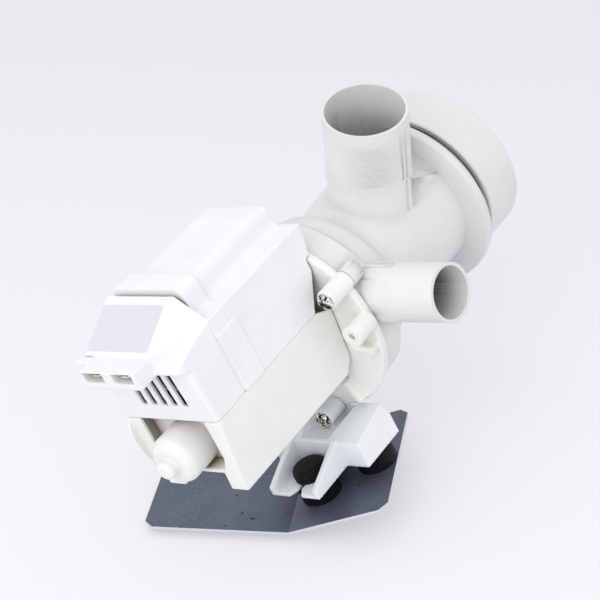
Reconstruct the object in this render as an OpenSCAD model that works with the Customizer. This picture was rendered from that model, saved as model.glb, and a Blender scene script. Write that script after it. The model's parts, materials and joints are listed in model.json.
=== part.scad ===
// Washer drain pump: motor, pump housing with lint filter, and a bent base plate on rubber feet.
// The pump is drawn about its motor axis: Y runs along the shaft from the motor to the cleanout cap,
// Z is the motor's upright, and Y = 0 is the joint between the motor flange and the pump housing.
// The whole is then set on the base plate, whose flat left half lies on the ground.

/* [Inlet and outlet] */
// Outside diameter of the inlet tube
inlet_od = 40; // [36:0.5:42]
// Wall of the inlet tube
inlet_wall = 1.4; // [1:0.1:2]
// Distance from the motor axis to the rim of the inlet
inlet_reach = 78.6; // [70:0.2:90]
// Lean of the inlet from the motor's upright
inlet_lean = 24.3; // [10:0.1:35]
// Distance from the front of the filter chamber to the inlet's axis
inlet_set = 33.3; // [28:0.1:36]
// Outside diameter of the outlet tube
outlet_od = 27; // [22:0.5:27.5]
// Wall of the outlet tube
outlet_wall = 1.6; // [1:0.1:2.2]
// Distance from the motor axis to the rim of the outlet
outlet_reach = 84; // [75:0.5:100]
// Height of the outlet's axis above the motor axis
outlet_rise = 6.4; // [0:0.1:10]

/* [Pump housing] */
// Outside radius of the volute
volute_r = 45.3; // [44:0.1:47]
// Depth of the volute inside
volute_depth = 27; // [26:0.1:30]
// Wall of the volute and chamber
housing_wall = 3; // [2:0.1:3.5]
// Radius of the eye between chamber and volute
eye_r = 15; // [10:0.5:18]
// Thickness of the wall around the eye
eye_wall = 4; // [3:0.1:6]
// Outside radius of the filter chamber at the volute
chamber_front_r = 31.5; // [30.5:0.1:33]
// Outside radius of the filter chamber at its rim
chamber_rear_r = 35; // [34:0.1:36]
// Length of the filter chamber
chamber_len = 61; // [58:0.5:70]
// Radius of the rim disc at the chamber's end
rim_r = 46.3; // [44:0.1:50]
// Thickness of the rim disc
rim_t = 5; // [3:0.1:7]
// Height up the inlet of the squared web behind it
web_top = 45; // [38:0.5:55]

/* [Cleanout] */
// Outside radius of the neck that the cap screws on
neck_r = 36; // [35:0.1:36.5]
// Outside radius of the neck's thread band
thread_r = 38.6; // [38:0.1:39]
// Length of the neck beyond the rim disc
neck_len = 21; // [18:0.5:24]
// Open groove between the rim disc and the cap
cap_gap = 7; // [4:0.1:9]
// Outside radius of the cap
cap_r = 42; // [41.5:0.1:45]
// Length of the cap
cap_len = 25.6; // [24:0.1:30]
// Thickness of the cap's face
cap_face = 3; // [2:0.1:4]
// Width of the grip bar in the cap's face
grip_w = 9; // [6:0.5:14]
// Radius of the filter cage
cage_r = 26.5; // [22:0.1:27.5]
// Number of bars in the filter cage
cage_bars = 12; // [8:1:16]
// Radius of the stub that the cap turns on
stub_r = 6; // [5:0.1:8]

/* [Motor] */
// Radius of the motor flange
flange_r = 47.7; // [47:0.1:50]
// Thickness of the motor flange
flange_t = 4; // [3:0.1:5]
// Radius on which the flange screws sit
screw_circle = 46.8; // [46:0.1:47]
// Length of the screw bosses from the joint
boss_len = 15.4; // [12:0.1:20]
// Outside radius of the screw bosses
boss_r = 5; // [4.5:0.1:5.5]
// Radius of the flange screws
screw_r = 2.1; // [1.5:0.1:2.4]
// Radius of the screw heads
head_r = 4; // [3.2:0.1:4.4]
// Radius of the rotor shaft
shaft_r = 3; // [2.5:0.1:4]
// Radius of the magnet rotor
rotor_r = 11; // [9:0.1:11.2]
// Length of the stator stack
stack_len = 36; // [30:0.5:38]
// Half width of the motor frame
frame_half = 29; // [28.5:0.1:31]
// Wall of the motor frame and cover
motor_wall = 2; // [1.6:0.1:2.2]
// Height of the seam between frame and cover above the axis
seam_z = 15.4; // [14.4:0.1:16.4]
// Depth of the frame's skirts below the axis
skirt_drop = 23; // [19:0.1:26]
// Depth of the frame's floor below the axis
floor_drop = 14; // [13.5:0.1:15]
// Distance from the joint to the open end of the frame
frame_end = 91; // [90.5:0.5:99]
// Height of the cover's side ridge above the axis
ridge_z = 54; // [53.5:0.1:56]
// Height of the cover's crown above the axis
crown_z = 67; // [66.5:0.1:72]
// Distance from the joint to the foot of the cover's end face
cover_end = 90.4; // [89.4:0.1:92.4]
// Number of cooling slots in the cover
vent_count = 5; // [3:1:6]
// Reach of the connector block beyond the cover's end face
plug_reach = 15.6; // [12:0.1:18]

/* [Base] */
// Thickness of the base plate
plate_t = 1.5; // [1.2:0.1:2]
// Length of the plate along its bend
plate_run = 77; // [74:0.5:90]
// Width of the plate's half that lies flat
flat_w = 69; // [60:0.5:90]
// Width of the plate's raised half
raised_w = 50; // [49:0.5:60]
// Bend of the raised half from the flat half
bend_angle = 20; // [17:0.5:24]
// Turn of the motor axis from the line of the bend
plate_turn = 26.3; // [24:0.1:28]
// Height of the motor axis above the raised half
axis_height = 74; // [74:0.1:80]
// Cut at the plate's corners
plate_corner = 4; // [2:0.5:8]
// Radius of the rubber feet
foot_r = 9.8; // [8:0.1:10]
// Height of a rubber foot under the bracket
foot_h = 10.5; // [8:0.1:10.5]
// Half width of the bracket's box
bracket_half = 28.4; // [26:0.1:31]
// Half width of the bracket's fork
fork_half = 15; // [13:0.1:17]

/* [Hidden] */
$fn = 96;

// Clearances
seat_gap = 0.05;
run_gap = 0.04;
thread_gap = 0.8;
slide_gap = 0.6;
wall_gap = 0.3;

// Stations along the motor axis
chamber_y = volute_depth + eye_wall;
rim_y = chamber_y + chamber_len;
neck_y = rim_y + rim_t;
neck_end = neck_y + neck_len;
cap_y = neck_y + cap_gap;
cap_end = cap_y + cap_len;
thread_y = cap_y + 1;
gasket_t = 1;
cap_floor = neck_end + gasket_t + 2 * seat_gap;
inlet_y = chamber_y + inlet_set;
outlet_y = volute_depth / 2;

// Housing outline
edge = 0.6;
drum_len = 14.6;
shoulder_in = 3.5;
shoulder_step = 5.5;
shoulder_r = volute_r - shoulder_in;
shoulder_end_r = chamber_front_r + shoulder_step;
chamber_bore = chamber_front_r - housing_wall;
neck_bore = neck_r - housing_wall;
web_lip = 0.6;
web_half = inlet_od / 2 + 2 * web_lip;
web_fall = 7;
web_end = chamber_rear_r - web_fall;
tube_rib = 3;
outlet_rib = 11;
spigot_step = 0.3;
inlet_grip = inlet_reach - web_top - web_lip;
outlet_grip = outlet_reach - volute_r - outlet_rib - web_lip;
screw_wall = 2.4;
mouth_bore = screw_circle - screw_r - screw_wall;
mouth_r = mouth_bore + housing_wall;
spigot_gap = 2.2;
spigot_len = 4;
spigot_wall = 3;
screw_angles = [30, 150, 270];
bracket_angle = 270;
lug_len = 8;
lug_web = boss_r - edge;
thread_depth = 7;
head_h = 2.4;
cross_r = 2.2;
cross_w = 1;
key_w = 4;
key_depth = 1.4;
cap_rim = 5.5;
stub_wall = 3;
stub_grip = 14;
cage_plate = 3;
cage_set = 5;
cage_hoop = 3.4;
cage_bar_r = 1.6;

// Motor stations
hub_r = 11;
hub_len = 20;
seal_r = 8;
seal_len = 5;
bush_r = 6;
bush_len = 12;
washer_t = 1.2;
hub_end = flange_t + hub_len;
front_bush_y = -hub_end + 1;
stack_mid = 52;
stack_y = -stack_mid - stack_len / 2;
rotor_over = 2;
floor_t = 2;
pole_gap = 1;
shaft_tail = 97;
rear_bush_y = -95;
rear_bush_len = 9;
holder_y = -83;
holder_t = 2.5;
nose_r = 12;
nose_end = frame_end + 12;
nose_cut = 1.4;
tip_r = 4.6;
tip_end = frame_end + 17;
leg_in = 6;
leg_w = 8.5;
leg_gap = 0.2;
coil_gap = 0.6;
bobbin_low = seam_z + 5.6;
bobbin_top = ridge_z - 6.5;
bobbin_wall = 1.2;
bobbin_gap = 0.8;
yoke_t = 11;
shoe_top = 13;
shoe_in = 2.5;
winding_t = leg_in - leg_gap - bobbin_wall - seat_gap - coil_gap;
impeller_r = 24;
impeller_y = 2.5;
impeller_len = 19.5;
impeller_hub = 3.4;
vanes = 6;
vane_t = 2.2;
disc_t = 2.4;
shaft_head = impeller_y + impeller_len - disc_t;
post = [44.5, 3];
post_r = 5.3;
post_hole = [1.7, 3];
collar_r = 20;
frame_rear = 11;
skirt_cut = 0.8;
heel_cut = 6;
frame_back = -flange_t - wall_gap;
shoulder_z = seam_z - 5;
frame_taper = 4.5;
bay_half = 20.3;
bay_low = -5;
foot_in = 14.8;
ear = [90.4, 95.2];
body_round = 4;
flange_ribs = [-13, -62, 193, 242];
rib_r = [34, 46.5];
rib_out = 5;
rib_w = 3.6;

// Cover
cover_rear = 1.3;
cover_knee = [-2.4, 36.2];
cover_heel = -14.6;
brow_y = -70;
visor = [-1.4 - cover_end, ridge_z - 10.7];
hood_mid = [-83, ridge_z - 2.7];
hood_y = -cover_end - 6;
hood_z = [ridge_z - 8.2, ridge_z - 6.6];
crown_mid = -2.5;
crown_half = 19.5;
crown_round = 5;
crown_step = 2.6;
step_fillet = 3.2;
crown_step_y = -56;
crown_fall = [-12, 1.7];
slope_top = [-69, crown_z];
slope_end_y = hood_y + 1.4;
slope_angle = 26;
slope_x = [-26.2, 16];
plug_x = [-20.6, 14.6];
plug_z = [ridge_z - 9, ridge_z];
plug_lid = 0.8;
key_low = [-28, -100.5, ridge_z - 4];
key_high = [-19, hood_y, ridge_z + 0.9];
plug_front = -cover_end - plug_reach;
pocket_w = 12.4;
pocket_h = 5;
pocket_x = [-12.9, 5.5];
pocket_z = plug_z[1] - plug_lid - pocket_h / 2;
tab_w = 6.3;
tab_t = 0.8;
tab_end = 81;
vent_w = 3.6;
vent_pitch = 6.4;
vent_mid = 2;
vent_low = seam_z + 8.6;
vent_high = visor[1] - 1.3;
latch_y = [-68.8, -54.8];
latch_top = ridge_z - 8.6;
groove_w = 1.1;
groove_top = ridge_z - 3.4;
slit_y = -58.6;
slit_h = 2.8;
mark_r = 0.8;
marks = [[22.5, -53.8], [17.5, -7.3]];
latch_t = 0.7;
room_end = 7;
label_w = 38;
label_h = 22;
label_t = 0.25;
label_set = 15.6;
label_side = 4.1;

// Base
bend_set = 30;
plate_shift = 18.4;
foot_low = -axis_height;
bracket_low = foot_low + foot_h;
bracket_t = 2;
bracket_wall = 2.4;
foot_gap = 0.4;
head_set = 1.4;
box_y = [-28, -1.7];
box_top = [-49.6, -44.8];
box_heel = -52.6;
fork_end = -51.7;
foot_neck_r = 4.5;
foot_head_r = foot_r - head_set;
foot_head_h = 6;
nub_r = 3;
nub_head_r = 4.2;
nub_head_t = 1.4;
throat_w = 2.8;
rear_foot = [bracket_half - bracket_wall - foot_head_r - foot_gap, -12.5];
foot_places = [[0, box_y[0] - foot_head_r - foot_gap], [-rear_foot[0], rear_foot[1]], rear_foot];
gusset_w = 3;
gusset_rise = 1.2;
fork_tip = 4.7;
fork_flare = 4.4;
trough_half = [6, 15];

// Sets what is drawn about the motor axis onto the bent plate
module on_plate() {
    translate([flat_w / 2, 0, plate_t])
        rotate([0, -bend_angle, 0])
            translate([bend_set, plate_shift, axis_height])
                rotate([0, 0, -plate_turn])
                    children();
}

// Turns an outline of [radius, station] points about the motor axis
module turned(outline) {
    rotate([-90, 0, 0]) rotate_extrude() polygon(outline);
}

// Rod along the motor axis between two stations
module rod(r, y0, y1) {
    translate([0, y0, 0]) rotate([-90, 0, 0]) cylinder(r = r, h = y1 - y0);
}

// Sleeve along the motor axis between two stations
module sleeve(r, bore, y0, y1) {
    difference() {
        rod(r, y0, y1);
        rod(bore, y0 - 1, y1 + 1);
    }
}

// Block between two corners
module block(low, high) {
    translate(low) cube(high - low);
}

// Outline in Y and Z drawn out across X
module across(outline, x0, x1) {
    translate([x0, 0, 0]) rotate([90, 0, 90]) linear_extrude(x1 - x0) polygon(outline);
}

// Places children on the screw circle at an angle
module at_screw(angle) {
    translate([screw_circle * cos(angle), 0, screw_circle * sin(angle)]) children();
}

// Rectangle with round corners, about its centre
module round_rect(w, h, r) {
    square([w - 2 * r, h], center = true);
    square([w, h - 2 * r], center = true);
    for (x = [-1, 1], y = [-1, 1])
        translate([x * (w / 2 - r), y * (h / 2 - r)]) circle(r);
}

// Points along an arc about a centre, from one angle to another
function arc(mid, r, from, to, steps = 6) =
    [for (i = [0:steps]) let (a = from + (to - from) * i / steps) mid + r * [cos(a), sin(a)]];

// Distance of a side wall's inner face from the motor's mid-plane at a height
function wall_in(z) = frame_half - motor_wall - frame_taper * (seam_z - z) / (seam_z + skirt_drop);

// Outline in X and Z drawn out along Y
module lengthwise(outline, y0, y1) {
    translate([0, y1, 0]) rotate([90, 0, 0]) linear_extrude(y1 - y0) polygon(outline);
}

// Frame of the inlet: its axis is Z, at its station on the motor axis
module along_inlet() {
    translate([0, inlet_y, 0]) rotate([0, inlet_lean, 0]) children();
}

module base_plate() {
    mitre = plate_t * tan(bend_angle / 2);
    far_x = flat_w / 2 + raised_w * cos(bend_angle);
    far_z = plate_t + raised_w * sin(bend_angle);
    near_x = -flat_w / 2;
    side = plate_run / 2;
    cut = plate_corner;
    color("slategray") difference() {
        intersection() {
            translate([0, side, 0]) rotate([90, 0, 0]) linear_extrude(plate_run) polygon([
                [near_x, 0], [flat_w / 2 + mitre, 0],
                [far_x + plate_t * sin(bend_angle), far_z - plate_t * cos(bend_angle)],
                [far_x, far_z], [flat_w / 2, plate_t], [near_x, plate_t]
            ]);
            translate([0, 0, -1]) linear_extrude(far_z + 2) polygon([
                [near_x, -side + cut], [near_x + cut, -side], [far_x - cut, -side],
                [far_x + 1, -side + cut + 1], [far_x + 1, side - cut - 1], [far_x - cut, side],
                [near_x + cut, side], [near_x, side - cut]
            ]);
        }
        on_plate() for (p = foot_places)
            translate([p[0], p[1], foot_low - 2 * plate_t]) cylinder(r = nub_r + seat_gap, h = 3 * plate_t);
    }
}

// Rubber foot: nub through the plate, body, neck in the bracket's slot, domed head
module rubber_foot(place) {
    low = foot_low;
    nub_low = low - plate_t - seat_gap;
    neck_low = bracket_low - seat_gap;
    neck_high = bracket_low + bracket_t + seat_gap;
    dome = arc([foot_head_r - 3, neck_high + foot_head_h - 3], 3, 0, 90);
    color("black") on_plate() translate([place[0], place[1], 0]) rotate_extrude() polygon(concat(
        [[0, nub_low - nub_head_t], [nub_head_r - 0.8, nub_low - nub_head_t], [nub_head_r, nub_low - 0.6],
         [nub_head_r, nub_low], [nub_r, nub_low], [nub_r, low + seat_gap], [foot_r - 0.6, low + seat_gap],
         [foot_r, low + 0.8], [foot_r, neck_low - 0.8], [foot_r - 0.8, neck_low], [foot_neck_r, neck_low],
         [foot_neck_r, neck_high], [foot_head_r, neck_high]],
        dome, [[0, neck_high + foot_head_h + 0.6]]
    ));
}

module rubber_foot_front() { rubber_foot(foot_places[0]); }
module rubber_foot_left() { rubber_foot(foot_places[1]); }
module rubber_foot_right() { rubber_foot(foot_places[2]); }

// Slot for a foot's neck, open towards a heading in the floor's plane
module neck_slot(place, heading, reach) {
    translate([place[0], place[1], bracket_low - 1]) {
        cylinder(r = foot_neck_r + seat_gap, h = bracket_t + 2);
        rotate([0, 0, heading]) translate([0, -throat_w / 2, 0]) cube([reach, throat_w, bracket_t + 2]);
    }
}

module mount_bracket() {
    top = bracket_low + bracket_t;
    wall = bracket_wall;
    face = -flange_t;
    trough_z = -screw_circle - head_r - wall_gap;
    rail_low = trough_z - wall;
    box_side = [[box_y[0], bracket_low], [box_y[0], box_top[0]], [face, box_top[1]], [box_y[1], box_heel],
                [box_y[1], bracket_low]];
    inside = [[box_y[0] + wall, top], [box_y[0] + wall, box_top[0] - wall],
              [face - wall, box_top[1] - 2 * wall], [face - wall, box_heel - wall / 2],
              [box_y[1] + 1, box_heel - wall / 2], [box_y[1] + 1, top]];
    rail = [[box_y[0] + 1, rail_low], [box_y[0] + 1, box_top[0] - 1], [face - 1, box_top[1] - wall],
            [face - 1, rail_low]];
    trough = [[-trough_half[1], box_top[1] + edge], [-trough_half[0], trough_z], [trough_half[0], trough_z],
              [trough_half[1], box_top[1] + edge]];
    gusset = [[box_y[0] + 1, bracket_low], [fork_end + 2, bracket_low], [fork_end, bracket_low + 2],
              [fork_end, bracket_low + fork_tip], [box_y[0] + 1, box_top[0] + gusset_rise]];
    color("white") on_plate() difference() {
        union() {
            difference() {
                union() {
                    difference() {
                        across(box_side, -bracket_half, bracket_half);
                        across(inside, wall - bracket_half, bracket_half - wall);
                    }
                    across(rail, -trough_half[1] - wall, trough_half[1] + wall);
                }
                lengthwise(trough, box_y[0] + wall, face);
            }
            block([-fork_half, fork_end, bracket_low], [fork_half, box_y[0] + 1, top]);
            for (x = [-fork_half, fork_half - gusset_w]) across(gusset, x, x + gusset_w);
            at_screw(bracket_angle) rod(boss_r, -boss_len, face);
        }
        neck_slot(foot_places[0], -90, foot_places[0][1] - fork_end + 1);
        for (i = [1, 2]) neck_slot(foot_places[i], 90, box_y[1] - foot_places[i][1] + 1);
        translate([0, fork_end, bracket_low - 1]) linear_extrude(bracket_t + 2)
            polygon([[-fork_flare, -1], [-throat_w / 2, fork_flare], [throat_w / 2, fork_flare],
                     [fork_flare, -1]]);
        at_screw(bracket_angle) {
            rod(screw_r + run_gap, -boss_len - 1, 1);
            rod(boss_r + wall_gap, face, 1);
        }
        rod(flange_r + wall_gap, face, 1);
    }
}

// Webs that tie the screw lugs to the round joint, between two stations
module lug_webs(y0, y1) {
    for (a = screw_angles) rotate([0, -a, 0])
        block([mouth_bore - spigot_gap, y0, -lug_web], [screw_circle, y1, lug_web]);
}

// Solid outline of the housing, before it is bored out
module housing_body() {
    turned([
        [0, 0], [mouth_r, 0], [mouth_r, lug_len], [volute_r, lug_len + edge], [volute_r, drum_len],
        [volute_r - shoulder_in / 2, drum_len + 2], [shoulder_r, drum_len + 2.5],
        [shoulder_end_r + edge, chamber_y - 2 * edge], [shoulder_end_r - edge, chamber_y],
        [chamber_front_r, chamber_y], [chamber_rear_r, rim_y], [rim_r - edge, rim_y], [rim_r, rim_y + edge],
        [rim_r, neck_y - edge], [rim_r - edge, neck_y], [neck_r, neck_y], [neck_r, thread_y],
        [thread_r, thread_y + 1], [thread_r, neck_end - 1], [thread_r - 1, neck_end], [0, neck_end]
    ]);
    along_inlet() {
        cylinder(d = inlet_od, h = inlet_reach);
        cylinder(d = inlet_od + 2 * spigot_step, h = inlet_reach - inlet_grip);
        across([[tube_rib / 2, 0], [tube_rib / 2, web_top - 1], [rim_y - inlet_y + edge, web_end],
                [rim_y - inlet_y + edge, 0]], web_lip - web_half, web_half - web_lip);
        for (x = [-web_half, web_half - tube_rib]) block([x, 0, 0], [x + tube_rib, tube_rib, web_top]);
    }
    translate([0, outlet_y, outlet_rise]) rotate([0, 90, 0]) {
        cylinder(d = outlet_od, h = outlet_reach);
        cylinder(d = outlet_od + 2 * spigot_step, h = outlet_reach - outlet_grip);
    }
    block([shoulder_end_r, outlet_y, outlet_rise],
          [volute_r + outlet_rib, outlet_y + tube_rib, outlet_rise + outlet_od / 2 + web_lip]);
    lug_webs(0, lug_len);
    for (a = screw_angles) at_screw(a) rod(boss_r, 0, lug_len);
}

module pump_housing() {
    outlet_bore = outlet_od / 2 - outlet_wall;
    key_top = neck_bore + key_depth;
    color("gainsboro") on_plate() difference() {
        housing_body();
        turned([[0, -1], [mouth_bore, -1], [mouth_bore, lug_len], [volute_r - housing_wall, lug_len + edge],
                [volute_r - housing_wall, drum_len - 2], [shoulder_end_r - housing_wall, volute_depth],
                [0, volute_depth]]);
        rod(eye_r, volute_depth - 1, chamber_y + 1);
        turned([[0, chamber_y], [chamber_bore, chamber_y], [chamber_rear_r - housing_wall, rim_y],
                [neck_bore, neck_y], [neck_bore, neck_end + 1], [0, neck_end + 1]]);
        block([-key_w / 2, neck_y, 0], [key_w / 2, neck_end + 1, key_top]);
        along_inlet() cylinder(d = inlet_od - 2 * inlet_wall, h = inlet_reach + 1);
        translate([impeller_r, outlet_y, outlet_rise]) rotate([0, 90, 0])
            cylinder(r = outlet_bore, h = outlet_reach);
        for (a = screw_angles) at_screw(a) rod(screw_r + seat_gap, -1, thread_depth + 0.5);
    }
}

module cleanout_cap() {
    bore = thread_r + thread_gap;
    recess_r = cap_r - cap_rim;
    face = cap_floor + cap_face;
    color("gainsboro") on_plate() {
        difference() {
            turned([[0, cap_y], [cap_r - edge, cap_y], [cap_r, cap_y + edge], [cap_r, cap_end - 2 * edge],
                    [cap_r - 2 * edge, cap_end], [0, cap_end]]);
            rod(bore, cap_y - 1, cap_floor);
            difference() {
                rod(recess_r, face, cap_end + 1);
                block([-grip_w / 2, face - 1, -cap_r], [grip_w / 2, cap_end + 2, cap_r]);
            }
        }
        sleeve(stub_r + stub_wall, stub_r + run_gap, cap_floor - stub_grip, cap_floor + cap_face / 2);
    }
}

module cap_gasket() {
    color("dimgray") on_plate() sleeve(thread_r - edge, neck_bore + edge, cap_floor - gasket_t, cap_floor);
}

module lint_filter() {
    plate_r = neck_bore - slide_gap;
    plate_y = neck_y + 1;
    plate_end = plate_y + cage_plate;
    cage_y = chamber_y + cage_set;
    hoop_y = (cage_y + plate_y - cage_hoop) / 2;
    color("lightgray") on_plate() {
        rod(plate_r, plate_y, plate_end);
        rod(stub_r, plate_end - edge, cap_floor - 1);
        block([-key_w / 2 + wall_gap, plate_y, plate_r - 2],
              [key_w / 2 - wall_gap, plate_end, neck_bore + key_depth - 2 * wall_gap]);
        for (y = [cage_y, hoop_y]) sleeve(cage_r, cage_r - cage_hoop, y, y + cage_hoop);
        for (i = [0:cage_bars - 1]) rotate([0, i * 360 / cage_bars, 0])
            translate([cage_r - cage_hoop / 2, 0, 0]) rod(cage_bar_r, cage_y + 1, plate_y + edge);
    }
}

module impeller() {
    hub = shaft_r + impeller_hub;
    vane_end = impeller_y + impeller_len - disc_t;
    color("whitesmoke") on_plate() difference() {
        union() {
            rod(hub, impeller_y, impeller_y + impeller_len);
            rod(impeller_r, impeller_y, impeller_y + disc_t);
            for (i = [0:vanes - 1]) rotate([0, i * 360 / vanes, 0])
                block([hub - 1, impeller_y + disc_t / 2, -vane_t / 2], [impeller_r, vane_end, vane_t / 2]);
        }
        rod(shaft_r + seat_gap, impeller_y - 1, shaft_head + seat_gap);
    }
}

module motor_flange() {
    spigot_r = mouth_bore - spigot_gap;
    color("ivory") on_plate() difference() {
        union() {
            turned([[0, 0], [0, -flange_t], [flange_r - edge, -flange_t], [flange_r, edge - flange_t],
                    [flange_r, 0]]);
            sleeve(spigot_r, spigot_r - spigot_wall, -1, spigot_len);
            rod(hub_r, -hub_end, 1 - flange_t);
            for (a = screw_angles) at_screw(a) rod(boss_r, a == bracket_angle ? -flange_t : -boss_len, 0);
            lug_webs(-flange_t, 0);
            translate([post[0], 0, post[1]]) rod(post_r, -boss_len, -flange_t / 2);
            for (a = flange_ribs) rotate([0, -a, 0])
                block([rib_r[0], -flange_t - rib_out, -rib_w / 2], [rib_r[1], -flange_t / 2, rib_w / 2]);
        }
        rod(seal_r + seat_gap, -seal_len, 1);
        rod(bush_r + seat_gap, front_bush_y, front_bush_y + bush_len);
        rod(shaft_r + 1, -hub_end - 1, 1);
        for (a = screw_angles) at_screw(a) rod(screw_r + seat_gap, -boss_len - 1, 1);
        translate([post[0], 0, post[1]]) rod(post_hole[0], -boss_len - 1, post_hole[1] - boss_len);
    }
}

module flange_seal() {
    color("black") on_plate() translate([0, spigot_len / 2, 0]) rotate([-90, 0, 0]) rotate_extrude()
        translate([mouth_bore - spigot_gap / 2, 0]) circle(spigot_gap / 2 - seat_gap, $fn = 24);
}

module shaft_seal() {
    lip = 1.6;
    color("dimgray") on_plate() difference() {
        rod(seal_r, -seal_len, -4 * seat_gap);
        rod(shaft_r + run_gap, -seal_len - 1, 1);
        sleeve(seal_r - lip, shaft_r + lip, lip - seal_len, 1);
    }
}

module front_bearing() {
    color("peru") on_plate() sleeve(bush_r, shaft_r + run_gap, front_bush_y, front_bush_y + bush_len);
}

module rear_bearing() {
    color("peru") on_plate() sleeve(bush_r, shaft_r + run_gap, rear_bush_y, rear_bush_y + rear_bush_len);
}

module rotor_shaft() {
    color("silver") on_plate() turned([
        [0, -shaft_tail], [shaft_r - edge, -shaft_tail], [shaft_r, edge - shaft_tail],
        [shaft_r, shaft_head - edge], [shaft_r - edge, shaft_head], [0, shaft_head]
    ]);
}

module rotor_magnet() {
    color("darkslategray") on_plate()
        sleeve(rotor_r, shaft_r + seat_gap, stack_y - rotor_over, stack_y + stack_len + rotor_over);
}

module thrust_washers() {
    front_y = -hub_end - wall_gap - washer_t;
    rear_y = holder_y + holder_t + wall_gap;
    color("goldenrod") on_plate() for (y = [front_y, rear_y])
        sleeve(bush_r - edge, shaft_r + seat_gap, y, y + washer_t);
}

module stator_core() {
    shoe_low = floor_t + leg_gap - floor_drop;
    shoe_out = wall_in(shoe_low) - pole_gap;
    yoke_low = bobbin_top + bobbin_gap;
    y0 = stack_y;
    y1 = stack_y + stack_len;
    color("gray") on_plate() difference() {
        union() {
            block([-leg_in - leg_w, y0, yoke_low], [leg_in + leg_w, y1, yoke_low + yoke_t]);
            for (s = [0, 1]) mirror([s, 0, 0]) {
                block([leg_in, y0, shoe_top - 1], [leg_in + leg_w, y1, yoke_low + 1]);
                block([shoe_in, y0, shoe_low], [shoe_out, y1, shoe_top]);
            }
        }
        rod(rotor_r + pole_gap, y0 - 1, y1 + 1);
    }
}

// Bobbin around one leg of the stator, on the positive side
module bobbin() {
    mid = leg_in + leg_w / 2;
    hole_w = leg_w + 2 * leg_gap;
    hole_l = stack_len + 2 * leg_gap;
    flange_w = 2 * (mid - coil_gap / 2);
    flange_l = stack_len + 2 * (winding_t + bobbin_wall + 2);
    color("ivory") translate([mid, -stack_mid, 0]) difference() {
        union() {
            translate([0, 0, bobbin_low]) linear_extrude(bobbin_top - bobbin_low)
                square([hole_w + 2 * bobbin_wall, hole_l + 2 * bobbin_wall], center = true);
            for (z = [bobbin_low, bobbin_top - bobbin_wall]) translate([0, 0, z]) linear_extrude(bobbin_wall)
                round_rect(flange_w, flange_l, 3);
        }
        translate([0, 0, bobbin_low - 1]) linear_extrude(bobbin_top - bobbin_low + 2)
            square([hole_w, hole_l], center = true);
    }
}

module coil_bobbin_left() { on_plate() mirror([1, 0, 0]) bobbin(); }
module coil_bobbin_right() { on_plate() bobbin(); }

// Winding on one bobbin, on the positive side
module winding() {
    mid = leg_in + leg_w / 2;
    in_w = leg_w + 2 * leg_gap + 2 * bobbin_wall + 2 * seat_gap;
    in_l = stack_len + 2 * leg_gap + 2 * bobbin_wall + 2 * seat_gap;
    low = bobbin_low + bobbin_wall + seat_gap;
    color("darkgoldenrod") translate([mid, -stack_mid, low])
        linear_extrude(bobbin_top - bobbin_wall - seat_gap - low) difference() {
            round_rect(in_w + 2 * winding_t, in_l + 2 * winding_t, winding_t);
            square([in_w, in_l], center = true);
        }
}

module coil_winding_left() { on_plate() mirror([1, 0, 0]) winding(); }
module coil_winding_right() { on_plate() winding(); }

// Plan of the motor's body from its front to the joint, with round front corners
module body_plan(front, z0, z1) {
    half = frame_half;
    r = body_round;
    translate([0, 0, z0]) linear_extrude(z1 - z0) polygon(concat(
        arc([half - r, front + r], r, 0, -90), arc([r - half, front + r], r, 270, 180),
        [[-half, cover_rear], [half, cover_rear]]));
}

// Cover's main box: ridge, end face, seam and the stepped rear edge, with a hood over the end face
module cover_box() {
    intersection() {
        across([[cover_rear, ridge_z], [brow_y, ridge_z], visor, [-cover_end, seam_z], [cover_heel, seam_z],
                cover_knee], -frame_half, frame_half);
        body_plan(visor[0], seam_z - 1, ridge_z + 1);
    }
    intersection() {
        across([[brow_y + 1, ridge_z], hood_mid, [hood_y, hood_z[1]], [hood_y, hood_z[0]], visor,
                [visor[0] + heel_cut, visor[1]], [brow_y + 1, ridge_z - 4]], -frame_half, frame_half);
        body_plan(hood_y, seam_z, ridge_z + 1);
    }
}

// Crown over the coils, with round shoulders and a fillet down to the ridge
module cover_crown(half, top, fillet, y0, y1) {
    r = crown_round;
    low = ridge_z - 1;
    right = concat(arc([half - r, top - r], r, 90, 0),
                   arc([half + fillet, ridge_z + fillet], fillet, 180, 270), [[half + fillet, low]]);
    left = [for (i = [len(right) - 1:-1:0]) [-right[i][0], right[i][1]]];
    translate([crown_mid, 0, 0]) lengthwise(concat(left, right), y0, y1);
}

// Rear crown, whose top falls away behind
module cover_rear_crown() {
    intersection() {
        cover_crown(crown_half, crown_z, crown_round, crown_step_y - 1, -1);
        across([[crown_step_y - 2, seam_z], [crown_step_y - 2, crown_z], [crown_fall[0], crown_z],
                [0, crown_z - crown_fall[1]], [0, seam_z]], -frame_half, frame_half);
    }
}

// Sloping front that carries the label, and the connector block below it
module cover_slope() {
    run = (slope_top[0] - slope_end_y) / cos(slope_angle);
    wide = slope_x[1] - slope_x[0];
    hull() {
        translate([slope_x[0], slope_top[0], slope_top[1]]) rotate([slope_angle, 0, 0])
            translate([0, -run, -1]) cube([wide, run, 1]);
        block([1 - frame_half, brow_y, ridge_z - 4], [frame_half - 1, brow_y + 2, ridge_z]);
        block([slope_x[0], slope_end_y, hood_z[0]], [slope_x[1], slope_end_y + 1, hood_z[1]]);
    }
    block([plug_x[0], plug_front, plug_z[0]], [plug_x[1], visor[0], plug_z[1]]);
    block(key_low, key_high);
}

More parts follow.
